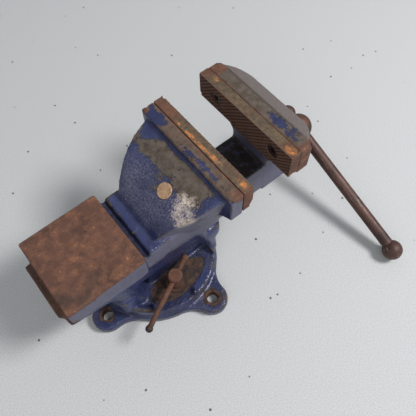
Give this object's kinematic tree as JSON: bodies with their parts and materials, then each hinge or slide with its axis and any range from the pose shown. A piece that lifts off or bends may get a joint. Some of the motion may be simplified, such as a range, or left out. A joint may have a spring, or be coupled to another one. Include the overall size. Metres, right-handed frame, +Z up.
{
  "type": "bench vise",
  "caption": "Swivelling bench vise with sliding jaw, screw and cross handle, steel jaw plates, anvil and a round lugged base.",
  "frame": {"origin": "on the bench surface, on the swivel axis of the base", "axes": "+Z up, away from the bench; +X along the slide from the anvil towards the handle"},
  "size_m": [0.3246, 0.2574, 0.1594],
  "materials": {
    "base_paint": "worn blue paint with rust",
    "body_paint": "worn blue paint with rust",
    "jaw_paint": "worn paint over rusty casting",
    "plate_steel": "rusty, serrated",
    "screw_steel": "rusty",
    "spindle_steel": "dark, oiled",
    "handle_steel": "browned by handling",
    "nut_iron": "as cast",
    "lock_steel": "rusty",
    "badge_brass": "dull"
  },
  "bodies": {
    "base": {"swivel_base": "base_paint"},
    "body": {"vise_body": "body_paint", "fixed_jaw_plate": "plate_steel", "fixed_jaw_screws": "screw_steel", "spindle_nut": "nut_iron", "nut_bolt": "screw_steel", "pivot_bolt": "lock_steel", "pivot_washer": "lock_steel", "maker_badge": "badge_brass", "lock_bolt_near": "lock_steel", "lock_washer_near": "lock_steel", "lock_bolt_far": "lock_steel", "lock_washer_far": "lock_steel"},
    "jaw": {"moving_jaw": "jaw_paint", "moving_jaw_plate": "plate_steel", "moving_jaw_screws": "screw_steel"},
    "screw": {"spindle": "spindle_steel", "thrust_washer": "spindle_steel", "spindle_collar": "spindle_steel", "collar_pin": "screw_steel"},
    "handle": {"handle_bar": "handle_steel", "handle_knob_lower": "handle_steel", "handle_knob_upper": "handle_steel"},
    "near_nut": {"lock_nut_near": "lock_steel"},
    "near_bar": {"lock_bar_near": "lock_steel"},
    "far_nut": {"lock_nut_far": "lock_steel"},
    "far_bar": {"lock_bar_far": "lock_steel"}
  },
  "joints": [
    {"name": "body_swivel", "type": "hinge", "parent": "base", "child": "body", "pos_m": [0, 0, 0.0153], "axis": [0, 0, 1], "continuous": true},
    {"name": "jaw_slide", "type": "slide", "parent": "body", "child": "jaw", "axis": [1, 0, 0], "range_m": [-0.0414, 0.0834]},
    {"name": "spindle_turn", "type": "hinge", "parent": "jaw", "child": "screw", "pos_m": [0.2025, 0, 0.07], "axis": [1, 0, 0], "range_deg": [-2984, 6008]},
    {"name": "handle_slide", "type": "slide", "parent": "screw", "child": "handle", "axis": [0, 0.9391, 0.3437], "range_m": [0, 0.1435]},
    {"name": "lock_nut_turn_near", "type": "hinge", "parent": "body", "child": "near_nut", "pos_m": [0, -0.0412, 0.038], "axis": [0, 0, 1], "range_deg": [-25, 0]},
    {"name": "lock_bar_slide_near", "type": "slide", "parent": "near_nut", "child": "near_bar", "axis": [-0.891, -0.454, 0], "range_m": [0, 0.0105]},
    {"name": "lock_nut_turn_far", "type": "hinge", "parent": "body", "child": "far_nut", "pos_m": [0, 0.0412, 0.038], "axis": [0, 0, 1], "range_deg": [-25, 0]},
    {"name": "lock_bar_slide_far", "type": "slide", "parent": "far_nut", "child": "far_bar", "axis": [0.891, 0.454, 0], "range_m": [0, 0.0105]}
  ],
  "couplings": [
    {"joint": "spindle_turn", "follows": "jaw_slide", "rad_per_m": 1256.6}
  ]
}
